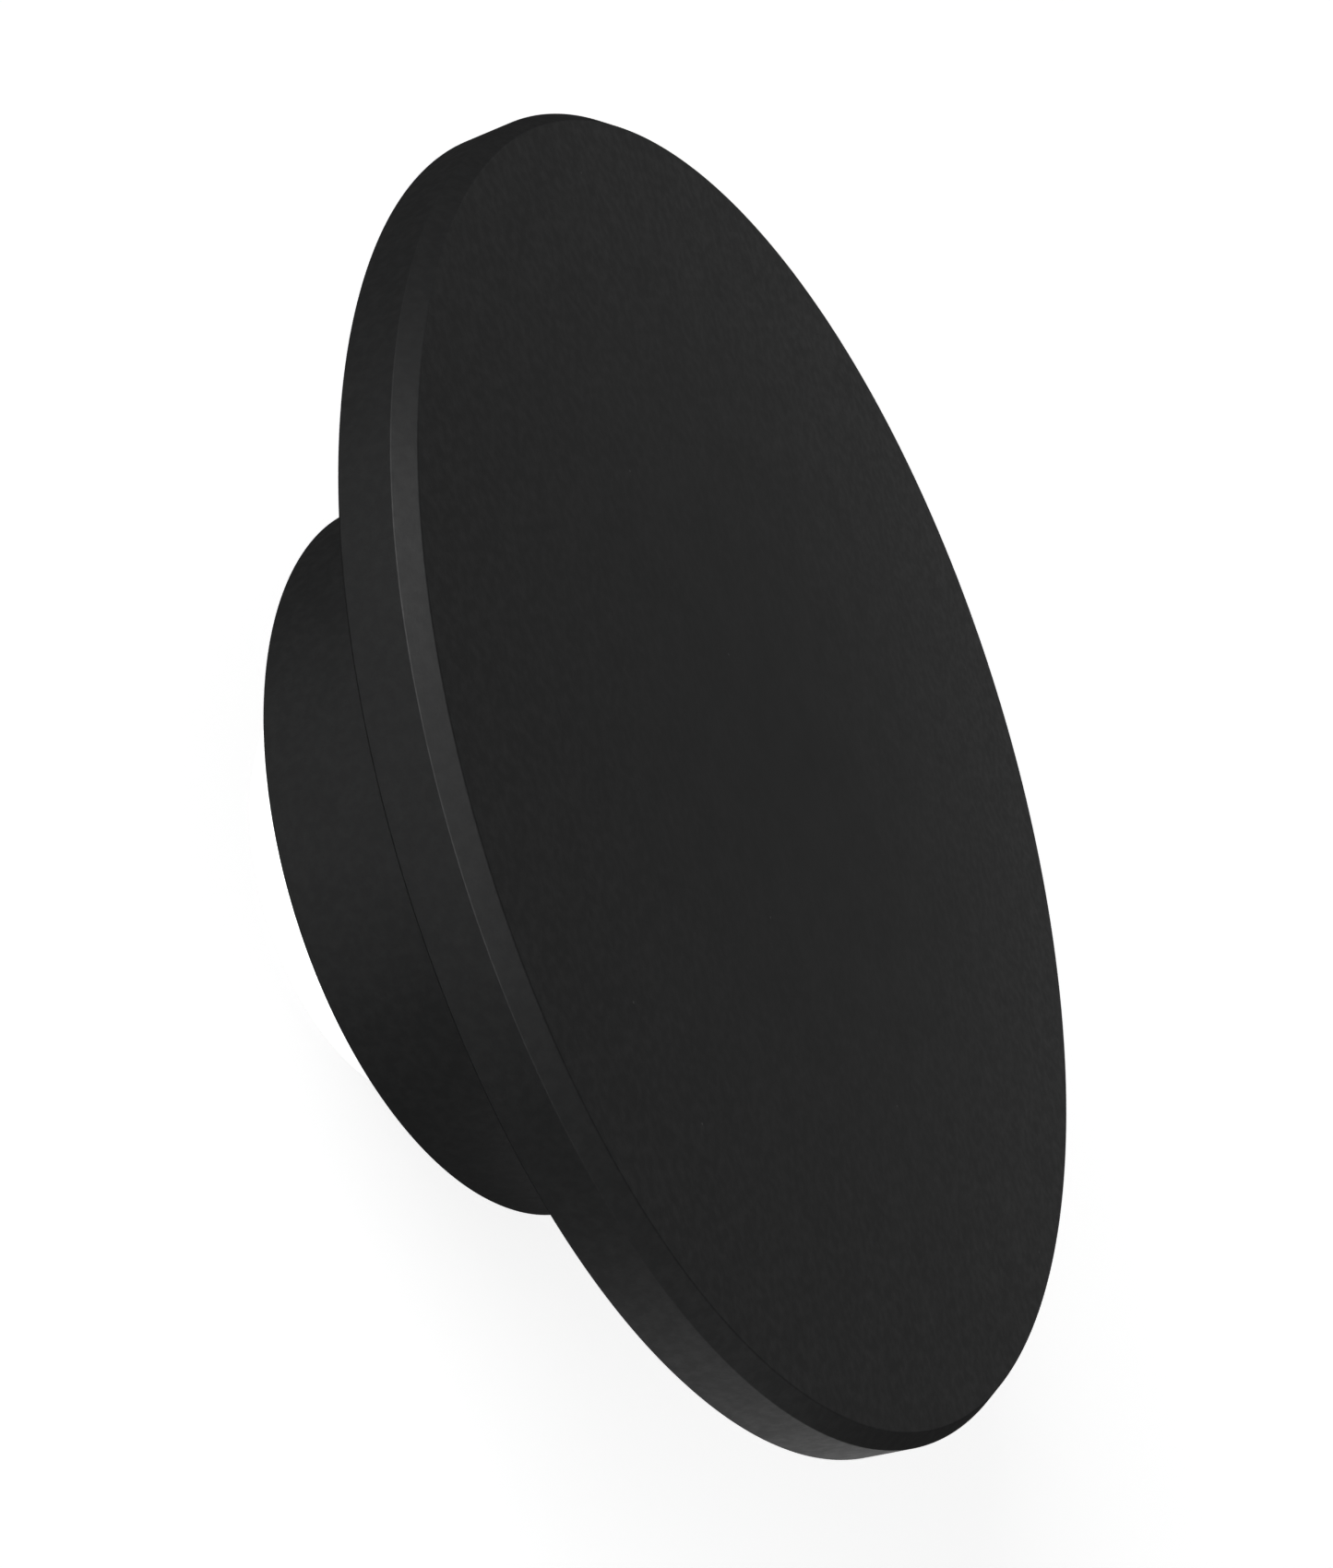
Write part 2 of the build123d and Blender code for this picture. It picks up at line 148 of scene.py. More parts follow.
def lathe(name, outline, segments=192, shape=None, steps=4):
    """A closed solid of revolution about Z. shape(r, z, angle) may return a changed (r, z)."""
    points = rounded(outline, steps)
    made = bmesh.new()
    edge_layer = made.verts.layers.float.new("edge")
    rings = []
    for r, z, on_arc in points:
        if r < 1e-9:
            ring = [made.verts.new((0, 0, z))] * segments
        else:
            ring = []
            for k in range(segments):
                angle = 2 * pi * k / segments
                rr, zz = shape(r, z, angle) if shape else (r, z)
                ring.append(made.verts.new((rr * cos(angle), rr * sin(angle), zz)))
        for vert in ring:
            vert[edge_layer] = 1.0 if on_arc else 0.0
        rings.append(ring)
    for i, ring in enumerate(rings):
        following = rings[(i + 1) % len(rings)]
        for k in range(segments):
            n = (k + 1) % segments
            corners = [ring[k], ring[n], following[n], following[k]]
            face = list(dict.fromkeys(corners))
            if len(face) > 2:
                made.faces.new(face)
    bmesh.ops.recalc_face_normals(made, faces=made.faces)
    return finished(name, made)


def finished(name, made, sharp=SHARP_ANGLE):
    """The object of a bmesh, smooth except at edges sharper than the given angle in degrees."""
    mesh = bpy.data.meshes.new(name)
    made.to_mesh(mesh)
    made.free()
    mesh.shade_smooth()
    mesh.set_sharp_from_angle(angle=radians(sharp))
    obj = bpy.data.objects.new(name, mesh)
    bpy.context.scene.collection.objects.link(obj)
    weighted = obj.modifiers.new("weighted", "WEIGHTED_NORMAL")
    weighted.keep_sharp = True
    weighted.weight = 100
    return obj


def prism(section, z, height):
    """A throwaway prism, used to cut: section is its outline in X and Y."""
    made = bmesh.new()
    low = [made.verts.new((x, y, z)) for x, y in section]
    high = [made.verts.new((x, y, z + height)) for x, y in section]
    made.faces.new(low[::-1])
    made.faces.new(high)
    for i, vert in enumerate(low):
        j = (i + 1) % len(low)
        made.faces.new((vert, low[j], high[j], high[i]))
    bmesh.ops.recalc_face_normals(made, faces=made.faces)
    mesh = bpy.data.meshes.new("cutter")
    made.to_mesh(mesh)
    made.free()
    cutter = bpy.data.objects.new("cutter", mesh)
    bpy.context.scene.collection.objects.link(cutter)
    return cutter


def polygon(radius, sides, centre=(0, 0), turn=0.0):
    """Corner points of a regular polygon."""
    x, y = centre
    angles = [turn + 2 * pi * k / sides for k in range(sides)]
    return [(x + radius * cos(a), y + radius * sin(a)) for a in angles]


def combine(obj, cutter, operation):
    """Applies a boolean to obj and removes the cutter."""
    modifier = obj.modifiers.new("cut", "BOOLEAN")
    modifier.operation = operation
    modifier.object = cutter
    modifier.solver = "EXACT"
    obj.modifiers.move(len(obj.modifiers) - 1, 0)
    weighted = obj.modifiers["weighted"]
    weighted.show_viewport = False
    bpy.context.view_layer.update()
    cut = bpy.data.meshes.new_from_object(obj.evaluated_get(bpy.context.evaluated_depsgraph_get()))
    weighted.show_viewport = True
    obj.modifiers.remove(modifier)
    obj.data = cut
    cut.set_sharp_from_angle(angle=radians(SHARP_ANGLE))
    bpy.data.objects.remove(cutter)
    return obj


def spread(count, radius, turn=0.0):
    """Centres of evenly spaced places on a circle."""
    return polygon(radius, count, turn=turn)


def thread_shape(low, high, crest, root, pitch, fade):
    """A shape for lathe(): a helical thread between two heights, which fades out at its ends."""
    steepness, root_flat = 1.6, 0.3

    def shape(r, z, angle):
        if not low < z < high:
            return r, z
        phase = (z / pitch - angle / (2 * pi)) % 1
        wave = 1 - abs(2 * phase - 1)
        flank = min(max(steepness * wave - root_flat, 0), 1)
        strength = min(1, (z - low) / fade, (high - z) / fade)
        return r + (crest - root) * flank * strength, z

    return shape


def rows(r, low, high, count):
    """Outline points up or down a straight wall, close enough together for a thread."""
    return [(r, low + (high - low) * k / count, 0) for k in range(1, count)]


# ---- materials ----------------------------------------------------------------------------------
class Look:
    """A node material round one Principled shader, with the few node patterns that the looks share."""

    def __init__(self, name, metallic=0.0, specular=0.5):
        self.material = bpy.data.materials.new(name)
        self.material.use_nodes = True
        self.tree = self.material.node_tree
        self.shader = self.tree.nodes["Principled BSDF"]
        self.shader.inputs["Metallic"].default_value = metallic
        self.shader.inputs["Specular IOR Level"].default_value = specular
        self.place = self.node("ShaderNodeTexCoord").outputs["Object"]

    def node(self, kind, **settings):
        made = self.tree.nodes.new(kind)
        for key, value in settings.items():
            setattr(made, key, value)
        return made

    def link(self, source, target):
        self.tree.links.new(source, target)

    def math(self, operation, a, b=None):
        """A sum on sockets or numbers."""
        made = self.node("ShaderNodeMath", operation=operation)
        for socket, value in zip(made.inputs, (a, b)):
            if isinstance(value, (int, float)):
                socket.default_value = value
            elif value is not None:
                self.link(value, socket)
        return made.outputs[0]

    def noise(self, size, detail, vector=None):
        """Noise with features of about the given size in metres."""
        made = self.node("ShaderNodeTexNoise")
        made.inputs["Scale"].default_value = 1 / size
        made.inputs["Detail"].default_value = detail
        made.inputs["Roughness"].default_value = 0.55
        self.link(vector or self.place, made.inputs["Vector"])
        return made.outputs["Fac"]

    def turned(self):
        """Coordinates that vary only with radius and height: lathe marks."""
        split = self.node("ShaderNodeSeparateXYZ")
        self.link(self.place, split.inputs[0])
        x, y, z = split.outputs
        squares = self.math("ADD", self.math("MULTIPLY", x, x), self.math("MULTIPLY", y, y))
        radius = self.math("SQRT", squares)
        joined = self.node("ShaderNodeCombineXYZ")
        self.link(radius, joined.inputs[0])
        self.link(z, joined.inputs[2])
        return joined.outputs[0]

    def ramp(self, value, low, high, out_low, out_high):
        """value from low..high mapped to out_low..out_high."""
        made = self.node("ShaderNodeMapRange")
        self.link(value, made.inputs["Value"])
        made.inputs["From Min"].default_value = low
        made.inputs["From Max"].default_value = high
        made.inputs["To Min"].default_value = out_low
        made.inputs["To Max"].default_value = out_high
        return made.outputs["Result"]

    def blend(self, factor, a, b):
        """Mix of two colours. Each is a colour or a socket."""
        made = self.node("ShaderNodeMix", data_type="RGBA")
        self.link(factor, made.inputs["Factor"])
        for socket, value in ((made.inputs["A"], a), (made.inputs["B"], b)):
            if isinstance(value, tuple):
                socket.default_value = (*value, 1)
            else:
                self.link(value, socket)
        return made.outputs["Result"]

    def edge(self):
        """1 on rounded edges, 0 elsewhere."""
        return self.node("ShaderNodeAttribute", attribute_name="edge").outputs["Fac"]

    def color(self, socket):
        self.link(socket, self.shader.inputs["Base Color"])

    def rough(self, socket):
        self.link(socket, self.shader.inputs["Roughness"])

    def bump(self, *layers):
        """Stacks bumps: (height, strength, distance in metres)."""
        normal = None
        for height, strength, distance in layers:
            made = self.node("ShaderNodeBump")
            made.inputs["Strength"].default_value = strength
            made.inputs["Distance"].default_value = distance
            self.link(height, made.inputs["Height"])
            if normal:
                self.link(normal, made.inputs["Normal"])
            normal = made.outputs["Normal"]
        self.link(normal, self.shader.inputs["Normal"])


def coated_look():
    """Matte black fine-textured coating on metal, with a few dust specks: the rounded edges are a little
    polished, and a lighter colour on them is a painted highlight.
    """
    dark, light = (0.0112, 0.0115, 0.0117), (0.0126, 0.0129, 0.0131)
    # the first colour is the lighter grey of the painted highlight on the rounded edges
    painted_highlight_grey, dusty = (0.035, 0.035, 0.035), (0.16, 0.16, 0.155)
    grain_size, patch_size, speck_distance = 0.11 * MM, 9 * MM, 11 * MM
    look = Look("matte_black_coating", specular=0.35)
    grain = look.noise(grain_size, 2.0)
    patches = look.ramp(look.noise(patch_size, 3.0), 0.3, 0.7, 0, 1)
    base = look.blend(patches, dark, light)
    # the rounded edges, patchy along their length: lower roughness there (polish) and a painted highlight
    edge_variation = look.ramp(look.noise(0.5 * MM, 4.0), 0.4, 0.7, 0.2, 1)
    polish_and_highlight = look.math("MULTIPLY", look.edge(), edge_variation)
    # painted highlight: the rounded edges get a lighter colour
    base = look.blend(look.math("MULTIPLY", polish_and_highlight, 0.35), base, painted_highlight_grey)
    specks = look.node("ShaderNodeTexVoronoi", voronoi_dimensions="2D")
    specks.inputs["Scale"].default_value = 1 / speck_distance
    look.link(look.place, specks.inputs["Vector"])
    speck = look.ramp(specks.outputs["Distance"], 0.0035, 0.006, 1, 0)
    chosen = look.ramp(look.noise(patch_size, 0.0), 0.55, 0.57, 0, 1)
    dust = look.math("MULTIPLY", speck, chosen)
    look.color(look.blend(look.math("MULTIPLY", dust, 0.5), base, dusty))
    rough = look.ramp(look.noise(2.2 * MM, 3.0), 0.3, 0.7, 0.49, 0.52)
    look.rough(look.math("SUBTRACT", rough, look.math("MULTIPLY", polish_and_highlight, 0.08)))
    look.bump((grain, 0.4, 0.01 * MM))
    return look.material


def rubber_look(name, shade):
    """Black moulded rubber with a dull bloom."""
    look = Look(name, specular=0.3)
    bloom = look.noise(3 * MM, 5.0)
    bloomed = tuple(2.4 * v for v in shade)
    look.color(look.blend(look.ramp(bloom, 0.45, 0.75, 0, 1), shade, bloomed))
    look.rough(look.ramp(look.noise(0.9 * MM, 3.0), 0.3, 0.7, 0.62, 0.8))
    grain, swell = look.noise(0.25 * MM, 3.0), look.noise(2.5 * MM, 1.0)
    look.bump((grain, 0.25, 0.015 * MM), (swell, 0.1, 0.05 * MM))
    return look.material


def plastic_look(name, shade, rough, subsurface=0.0):
    """Moulded plastic with a fine spark-eroded texture."""
    look = Look(name, specular=0.45)
    light = tuple(min(1, 1.12 * v + 0.004) for v in shade)
    clouds = look.ramp(look.noise(4 * MM, 4.0), 0.35, 0.7, 0, 1)
    look.color(look.blend(clouds, shade, light))
    look.rough(look.ramp(look.noise(0.6 * MM, 3.0), 0.3, 0.7, rough - 0.05, rough + 0.06))
    look.shader.inputs["Subsurface Weight"].default_value = subsurface
    look.shader.inputs["Subsurface Radius"].default_value = (0.6 * MM, 0.5 * MM, 0.4 * MM)
    look.bump((look.noise(0.12 * MM, 2.0), 0.3, 0.008 * MM))
    return look.material


def metal_look(name, shade, stain, rough):
    """Turned or rolled metal: concentric marks, a light stain, smudged roughness."""
    look = Look(name, metallic=1.0)
    lathe_marks = look.noise(0.05 * MM, 2.0, look.turned())
    smudge = look.noise(2.5 * MM, 5.0)
    tone = look.blend(look.ramp(smudge, 0.42, 0.72, 0, 0.8), shade, stain)
    darker = tuple(0.86 * v for v in shade)
    look.color(look.blend(look.ramp(lathe_marks, 0.45, 0.7, 0, 0.35), tone, darker))
    smudged = look.ramp(smudge, 0.3, 0.7, rough - 0.05, rough + 0.08)
    marked = look.ramp(lathe_marks, 0.3, 0.7, -0.04, 0.05)
    look.rough(look.math("ADD", smudged, marked))
    look.bump((lathe_marks, 0.25, 0.004 * MM))
    return look.material


LOOKS = {
    "black_finish": coated_look(),
    "black_plastic": plastic_look("black_moulded_plastic", (0.014, 0.014, 0.0145), 0.45),
    "seal_rubber": rubber_look("seal_epdm", (0.011, 0.011, 0.0115)),
    "washer_rubber": rubber_look("washer_rubber_black", (0.014, 0.0138, 0.0135)),
    "steel": metal_look("stainless_steel", (0.56, 0.555, 0.54), (0.42, 0.41, 0.39), 0.3),
    "spring_steel": metal_look("spring_steel_wire", (0.5, 0.5, 0.49), (0.36, 0.35, 0.34), 0.26),
    "brass": metal_look("machined_brass", (0.74, 0.53, 0.25), (0.52, 0.35, 0.15), 0.28),
    "white_acetal": plastic_look("natural_acetal", (0.78, 0.77, 0.72), 0.4, 0.1),
    "grey_acetal": plastic_look("dark_grey_acetal", (0.055, 0.057, 0.06), 0.4),
}
SLOT_OF = {s["node"]: s["material_slot"] for s in frame["record"]["subparts"]}
BODY_OF = {n: b for b, nodes in frame["record"]["behaviour"]["bodies"].items() for n in nodes}


def stands_for(piece, node):
    """Gives the piece its node's material and body, and hides the node."""
    piece.data.materials.clear()
    piece.data.materials.append(LOOKS[SLOT_OF[node]])
    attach(piece, BODY_OF[node])
    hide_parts(node)
    return piece


def dress_cad_nodes():
    """Gives every CAD node the look of its slot."""
    for name, node in frame["nodes"].items():
        node.data.materials.clear()
        node.data.materials.append(LOOKS[SLOT_OF[name]])


# ---- pieces of the plug -------------------------------------------------------------------------
def make_disc():
    """The disc, with its register ring, the groove for the cup and the hollow boss on its back."""
    spindle_room_top = SPINDLE_HIGH.z + SPINDLE_ROOM
    cup_recess_top = DISC_BACK + CUP_RECESS
    outline = [
        (0, spindle_room_top, 0),
        (0, DISC_FACE, 0),
        (DISC_RADIUS - CHAMFER_WIDTH, DISC_FACE, EDGE_ROUND),
        (DISC_RADIUS, DISC_FACE - CHAMFER_DEPTH, EDGE_ROUND),
        (DISC_RADIUS, DISC_BACK + RIM_BACK_BREAK, SMALL_ROUND),
        (DISC_RADIUS - RIM_BACK_BREAK, DISC_BACK, SMALL_ROUND),
        (REGISTER_OUTER, DISC_BACK, SMALL_ROUND),
        (REGISTER_OUTER, SLEEVE_TOP, SMALL_ROUND),
        (REGISTER_INNER, SLEEVE_TOP, SMALL_ROUND),
        (REGISTER_INNER, DISC_BACK, SMALL_ROUND),
        (CUP_RECESS_OUTER, DISC_BACK, SMALL_ROUND),
        (CUP_RECESS_OUTER, cup_recess_top, SMALL_ROUND),
        (CUP_RECESS_INNER, cup_recess_top, SMALL_ROUND),
        (CUP_RECESS_INNER, DISC_BACK, SMALL_ROUND),
        (BOSS_RADIUS, DISC_BACK, SMALL_ROUND),
        (BOSS_RADIUS, DISC_LOW.z, SMALL_ROUND),
        (BORE_RADIUS, DISC_LOW.z, SMALL_ROUND),
        (BORE_RADIUS, spindle_room_top, SMALL_ROUND),
    ]
    return stands_for(lathe("coated_disc", outline, segments=384), "cap_disc")


def make_hub():
    """The hub's sleeve, with its inner flange and the screws' holes."""
    inner = HUB_RADIUS - SLEEVE_WALL
    flange_low = SLEEVE_TOP - FLANGE_THICKNESS
    counterbore, counterbore_top = COVER_HIGH.x + COVER_GAP, COVER_HIGH.z
    outline = [
        (FLANGE_INNER, SLEEVE_TOP, SMALL_ROUND),
        (HUB_RADIUS, SLEEVE_TOP, SMALL_ROUND),
        (HUB_RADIUS, HUB_END, HUB_END_ROUND),
        (counterbore, HUB_END, SMALL_ROUND),
        (counterbore, counterbore_top, 0),
        (inner, counterbore_top, SMALL_ROUND),
        (inner, flange_low, SMALL_ROUND),
        (FLANGE_INNER, flange_low, SMALL_ROUND),
    ]
    hub = lathe("coated_hub", outline, segments=288)
    for place in spread(SCREW_COUNT, SCREW_CIRCLE):
        round_hole = polygon(SCREW_HOLE_RADIUS, 32, place)
        cutter = prism(round_hole, flange_low - CUT_SPARE, FLANGE_THICKNESS + 2 * CUT_SPARE)
        combine(hub, cutter, "DIFFERENCE")
    return stands_for(hub, "hub_sleeve")


def make_seal():
    """The lip seal: a flat clamped part and a soft lip that turns down."""
    edge = SEAL_HIGH.x
    back = SLEEVE_TOP + CLAMP_WASHER
    soft = 0.2 * MM
    outline = [
        (CLAMP_INNER, back, soft),
        (CLAMP_INNER, DISC_BACK, soft),
        (edge - 2.2 * MM, DISC_BACK, 1.2 * MM),
        (edge - 0.3 * MM, DISC_BACK - 0.9 * MM, 0.6 * MM),
        (edge, DISC_BACK - 2.0 * MM, soft),
        (edge - 0.7 * MM, SEAL_LOW.z, soft),
        (edge - 2.4 * MM, DISC_BACK - 1.3 * MM, 0.8 * MM),
        (edge - 4.3 * MM, back, 0.5 * MM),
    ]
    return stands_for(lathe("lip_seal", outline, segments=256, steps=6), "seal_ring")


def make_cover():
    """The drain ring in the hub's open end."""
    outer = COVER_HIGH.x
    low, high = COVER_LOW.z, COVER_HIGH.z
    outline = [
        (COVER_INNER, low, 0.2 * MM),
        (outer, low, 0.12 * MM),
        (outer, high, 0.05 * MM),
        (COVER_INNER, high, 0.1 * MM),
    ]
    cover = lathe("drain_ring", outline, segments=256)
    for place in spread(DRAIN_COUNT, DRAIN_CIRCLE, turn=pi / DRAIN_COUNT):
        round_hole = polygon(DRAIN_RADIUS, 40, place)
        cutter = prism(round_hole, low - CUT_SPARE, high - low + 2 * CUT_SPARE)
        combine(cover, cutter, "DIFFERENCE")
    return stands_for(cover, "back_ring")


def screw(name, centre):
    """An M2 socket-head screw, head down: knurled head, hexagon socket, threaded shank."""
    head_z = SLEEVE_TOP - FLANGE_THICKNESS
    low, high = head_z - SCREW_HEAD_HEIGHT, SCREWS_HIGH.z
    core = SCREW_RADIUS - SCREW_THREAD_DEPTH
    knurls, knurl_depth = 30, 0.04 * MM
    knurl_low, knurl_high, knurl_inner = low + 0.2 * MM, head_z - 0.1 * MM, 1.5 * MM
    thread = thread_shape(head_z + 0.3 * MM, high, SCREW_RADIUS, core, SCREW_PITCH, SCREW_PITCH)

    def shape(r, z, angle):
        if knurl_low < z < knurl_high and r > knurl_inner:
            return r - knurl_depth * (1 + cos(knurls * angle)), z
        return thread(r, z, angle)

    outline = [
        (0, low, 0),
        (SCREW_HEAD_RADIUS, low, 0.2 * MM),
        *rows(SCREW_HEAD_RADIUS, low + 0.15 * MM, head_z - 0.05 * MM, 6),
        (SCREW_HEAD_RADIUS, head_z, SMALL_ROUND),
        (SCREW_RADIUS, head_z, SMALL_ROUND),
        *rows(core, head_z + 0.2 * MM, high - 0.1 * MM, 90),
        (core, high, 0),
        (0, high, 0),
    ]
    made = lathe(name, outline, segments=120, shape=shape)
    socket = prism(polygon(HEX_RECESS, 6), low - CUT_SPARE, HEX_DEPTH + CUT_SPARE)
    combine(made, socket, "DIFFERENCE")
    made.data.transform(Matrix.Translation((*centre, 0)))
    return made


def make_screws():
    """The three screws, joined into one piece as their node is."""
    joined = bmesh.new()
    for i, place in enumerate(spread(SCREW_COUNT, SCREW_CIRCLE)):
        made = screw(f"socket_screw_{i}", place)
        joined.from_mesh(made.data)
        bpy.data.objects.remove(made)
    return stands_for(finished("socket_screws", joined), "sleeve_screws")


def make_wave_washer():
    """The wave washer, with three real waves."""
    inner, outer = 5.5 * MM, WAVE_HIGH.x
    thickness, waves, swing, soft = 0.13 * MM, 3, 0.055 * MM, 0.03 * MM
    middle = (WAVE_LOW.z + WAVE_HIGH.z) / 2

    def shape(r, z, angle):
        return r, z + swing * cos(waves * angle)

    outline = [
        (inner, middle - thickness / 2, soft),
        (outer, middle - thickness / 2, soft),
        (outer, middle + thickness / 2, soft),
        (inner, middle + thickness / 2, soft),
    ]
    washer = lathe("sprung_washer", outline, segments=144, shape=shape, steps=2)
    return stands_for(washer, "wave_washer")


# ---- pieces of the base -------------------------------------------------------------------------
def make_foot_washer():
    """The rubber washer, with two shallow grooves in its lower face."""
    outer = FOOT_HIGH.x
    low, high = FOOT_LOW.z, FOOT_HIGH.z
    depth, width = 0.2 * MM, 0.35 * MM
    grooves = []
    for centre in (8.5 * MM, 9.8 * MM):
        grooves += [
            (centre - width, low, 0.1 * MM),
            (centre - width / 2, low + depth, 0.1 * MM),
            (centre + width / 2, low + depth, 0.1 * MM),
            (centre + width, low, 0.1 * MM),
        ]
    outline = [
        (FOOT_INNER, low, 0.25 * MM),
        *grooves,
        (outer, low, 0.3 * MM),
        (outer, high, 0.2 * MM),
        (FOOT_INNER, high, 0.2 * MM),
    ]
    return stands_for(lathe("foot_washer", outline), "base_washer")


def make_nut():
    """The thin hexagon nut, with its corners chamfered on the lower face."""
    low, high = NUT_LOW.z, NUT_HIGH.z
    corner = NUT_HIGH.x
    flat = corner * cos(pi / 6)
    past_corner = corner + 0.1 * MM
    outline = [
        (NUT_BORE, low, 0.08 * MM),
        (flat - 0.1 * MM, low, 0.1 * MM),
        (past_corner, low + 0.45 * MM, 0),
        (past_corner, high, 0),
        (NUT_BORE, high, 0),
    ]
    nut = lathe("hexagon_nut", outline)
    hexagon = prism(polygon(corner, 6), low - CUT_SPARE, high - low + 2 * CUT_SPARE)
    combine(nut, hexagon, "INTERSECT")
    return stands_for(nut, "spindle_nut")


def make_bore_thread():
    """The M6 thread inside the spindle's bore."""
    low, high = SPINDLE_LOW.z + 0.02 * MM, SPINDLE_LOW.z + 8.6 * MM
    wall, root, crest = 2.995 * MM, 2.93 * MM, 2.46 * MM
    pitch = 1.0 * MM
    thread = thread_shape(low + 0.2 * MM, high, crest, root, pitch, pitch * 0.6)

    def shape(r, z, angle):
        on_wall = r > wall - 0.01 * MM
        return (r, z) if on_wall else thread(r, z, angle)

    outline = [
        (wall, low, 0),
        (wall, high, 0),
        (root, high, 0),
        *rows(root, high, low, 110),
        (root, low, 0),
    ]
    piece = lathe("bore_thread", outline, segments=144, shape=shape)
    piece.data.materials.append(LOOKS["brass"])
    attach(piece, "base")
    return piece


def make_spring():
    """The return spring: closed, ground end coils."""
    wire = WIRE_RADIUS
    radius = SPRING_HIGH.x - wire
    seat_low, seat_high = CUP_LOW.z + CUP_FLOOR, SEAT_LOW.z
    dead_turns, live_turns = 1.0, 3.5
    turns = 2 * dead_turns + live_turns
    dead_rise = 1.96 * wire * dead_turns  # the end coils touch
    ground = 0.35 * wire  # how much of the wire the grinding takes off
    centre_low, centre_high = seat_low + wire - ground, seat_high - wire + ground
    live_rise = centre_high - centre_low - 2 * dead_rise

    def height(turn):
        if turn < dead_turns:
            return centre_low + dead_rise * turn / dead_turns
        if turn > dead_turns + live_turns:
            return centre_high - dead_rise * (turns - turn) / dead_turns
        return centre_low + dead_rise + live_rise * (turn - dead_turns) / live_turns

    steps, sides = round(turns * 64), 16
    made = bmesh.new()
    made.verts.layers.float.new("edge")
    rings = []
    for i in range(steps + 1):
        turn = turns * i / steps
        angle = 2 * pi * turn
        centre = Vector((radius * cos(angle), radius * sin(angle), height(turn)))
        outward = Vector((cos(angle), sin(angle), 0))
        ring = []
        for k in range(sides):
            around = 2 * pi * k / sides
            point = centre + wire * (outward * cos(around) + Vector((0, 0, sin(around))))
            point.z = min(max(point.z, seat_low), seat_high)
            ring.append(made.verts.new(point))
        rings.append(ring)
    for first, second in zip(rings, rings[1:]):
        for k in range(sides):
            n = (k + 1) % sides
            made.faces.new((first[k], first[n], second[n], second[k]))
    made.faces.new(rings[0][::-1])
    made.faces.new(rings[-1])
    bmesh.ops.recalc_face_normals(made, faces=made.faces)
    spring = stands_for(finished("coil_spring", made, sharp=50), "return_spring")
    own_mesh(spring)
    return spring


# ---- stage --------------------------------------------------------------------------------------
def make_floor():
    """A pale floor that curves up into a wall far away, and a low pale post that the washer stands on.

    The post keeps the hub's end off the floor when the plug is pressed. The floor glows a little, like a
    light table, so that it stays pale under the object's dim light.
    """
    gap = 0.15 * MM  # under the hub's end when the plug is pressed
    floor_z = HUB_END - PLUG_TRAVEL - gap
    reach, curve, wall_top, thickness = 3.2, 1.0, 3, 0.1
    post_radius = FOOT_HIGH.x + 0.3 * MM
    look = Look("pale_floor", specular=0.2)
    clouds = look.ramp(look.noise(0.2, 2.0), 0.3, 0.7, 0, 1)
    look.color(look.blend(clouds, (0.86, 0.86, 0.86), (0.88, 0.88, 0.88)))
    look.shader.inputs["Roughness"].default_value = 0.9
    look.shader.inputs["Emission Color"].default_value = (1, 1, 1, 1)
    distance = look.node("ShaderNodeVectorMath", operation="LENGTH")
    look.link(look.place, distance.inputs[0])
    glow = look.ramp(distance.outputs["Value"], 0.2, 1.2, 0.77, 1.0)
    look.link(glow, look.shader.inputs["Emission Strength"])
    room = [
        (0, floor_z, 0),
        (reach, floor_z, curve),
        (reach, wall_top, 0),
        (reach + thickness, wall_top, 0),
        (reach + thickness, floor_z - thickness, 0),
        (0, floor_z - thickness, 0),
    ]
    post = [
        (0, floor_z, 0),
        (post_radius, floor_z, 0),
        (post_radius, 0, 0.3 * MM),
        (0, 0, 0),
    ]
    floor = lathe("floor", room, segments=96, steps=16)
    for piece in (floor, lathe("post", post, segments=128)):
        piece.data.materials.append(look.material)
        piece.visible_diffuse = piece.visible_glossy = False


def make_camera():
    """The camera: over the disc's plane, rolled so that the plunger's axis points right and a little up."""
    back = Vector((0, -cos(VIEW_ELEVATION), sin(VIEW_ELEVATION)))
    level_right = Vector((1, 0, 0))
    level_up = back.cross(level_right)
    right = level_right * cos(VIEW_ROLL) + level_up * sin(VIEW_ROLL)
    up = level_up * cos(VIEW_ROLL) - level_right * sin(VIEW_ROLL)
    face = Vector((0, 0, DISC_FACE))
    offset = right * FACE_RIGHT + up * FACE_UP - back * VIEW_DISTANCE
    data = bpy.data.cameras.new("camera")
    data.lens = LENS
    data.clip_start = 0.01
    data.clip_end = 50
    camera = bpy.data.objects.new("camera", data)
    axes = Matrix((right, up, back)).transposed()
    camera.matrix_world = Matrix.Translation(face - offset * DISC_RADIUS) @ axes.to_4x4()
    bpy.context.scene.collection.objects.link(camera)
    bpy.context.scene.camera = camera


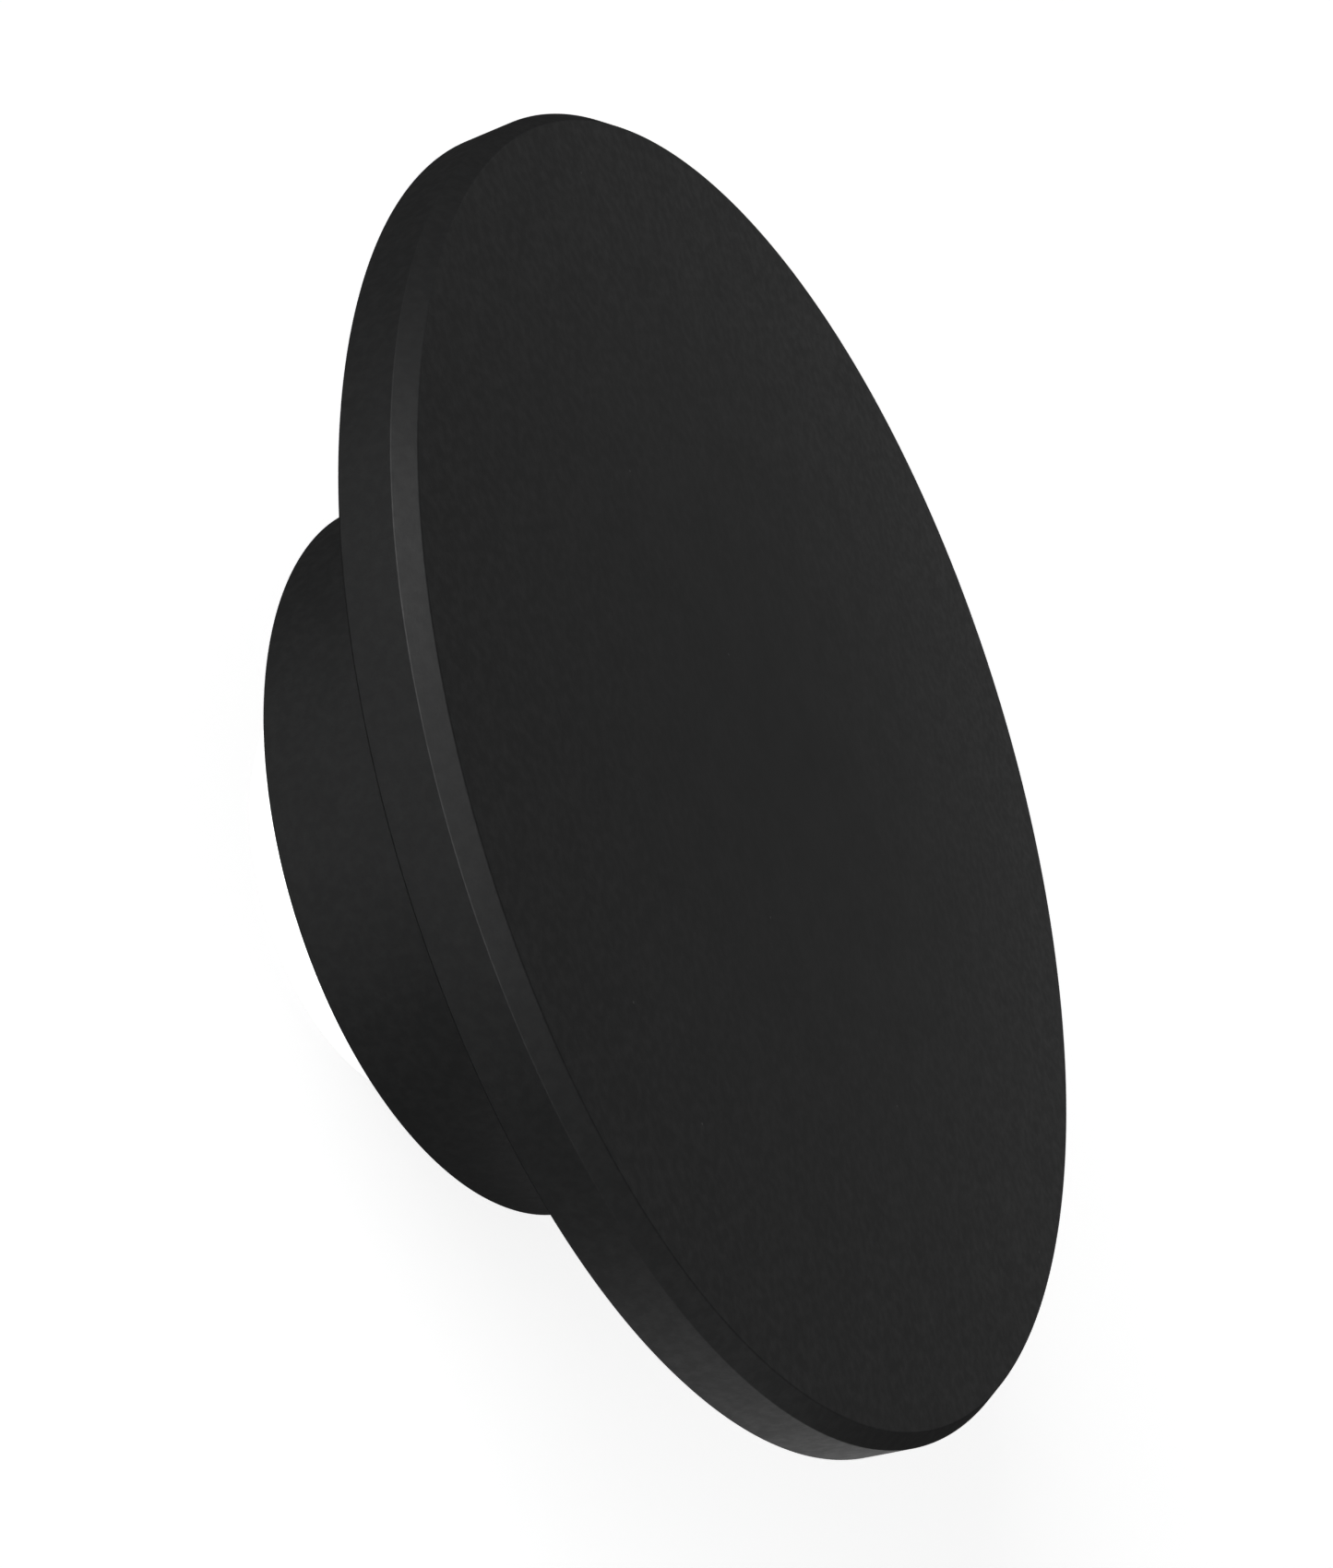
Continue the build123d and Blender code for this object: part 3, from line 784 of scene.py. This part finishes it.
def area_light(name, place, facing, size, power):
    """A square area light, in metres and watts, which the camera doesn't see."""
    data = bpy.data.lights.new(name, "AREA")
    data.shape = "SQUARE"
    data.size = size
    data.energy = power
    light = bpy.data.objects.new(name, data)
    light.location = place
    light.rotation_mode = "QUATERNION"
    light.rotation_quaternion = facing.to_track_quat("-Z", "Y")
    light.visible_camera = False
    bpy.context.scene.collection.objects.link(light)


def direction(azimuth, elevation):
    """The direction from the plunger. Azimuth 0 is the camera's side and 90 is +X, in degrees."""
    a, e = radians(azimuth), radians(elevation)
    return Vector((sin(a) * cos(e), -cos(a) * cos(e), sin(e)))


BOX_DISTANCE, BOX_SIZE = 1.3, 0.9
# azimuth and elevation in degrees, and power in watts, of each box
BOXES = [
    (-45, 12, 12.4),
    (0, 12, 7.6),
    (45, 12, 0.8),
    (90, 12, 1.2),
    (135, 38, 0.4),
    (180, 12, 0.72),
    (225, 38, 0.8),
]
# the patch of light on the floor: azimuth in degrees, distance, size, and power in watts
PATCH_AZIMUTH, PATCH_DISTANCE, PATCH_SIZE, PATCH_POWER = 95, 80 * MM, 90 * MM, 0.0135
ROOM_LIGHT = 0.03


def make_lights():
    """Soft studio light: large boxes round the plunger, most of them low, and a dim room.

    A patch of light on the floor, to the right, brightens the rim from below.
    """
    for azimuth, elevation, power in BOXES:
        away = direction(azimuth, elevation)
        area_light(f"box_{azimuth}", away * BOX_DISTANCE, -away, BOX_SIZE, power)
    patch = direction(PATCH_AZIMUTH, 0) * PATCH_DISTANCE
    patch.z = HUB_END - PLUG_TRAVEL
    area_light("floor_patch", patch, Vector((0, 0, 1)), PATCH_SIZE, PATCH_POWER)
    world = bpy.data.worlds.new("room")
    world.use_nodes = True
    background = world.node_tree.nodes["Background"]
    background.inputs["Color"].default_value = (1, 1, 1, 1)
    background.inputs["Strength"].default_value = ROOM_LIGHT
    bpy.context.scene.world = world
    bpy.context.scene.view_settings.view_transform = "Standard"


dress_cad_nodes()
make_disc()
make_hub()
make_seal()
make_cover()
make_screws()
make_wave_washer()
make_foot_washer()
make_nut()
make_bore_thread()
make_spring()
make_floor()
make_camera()
make_lights()
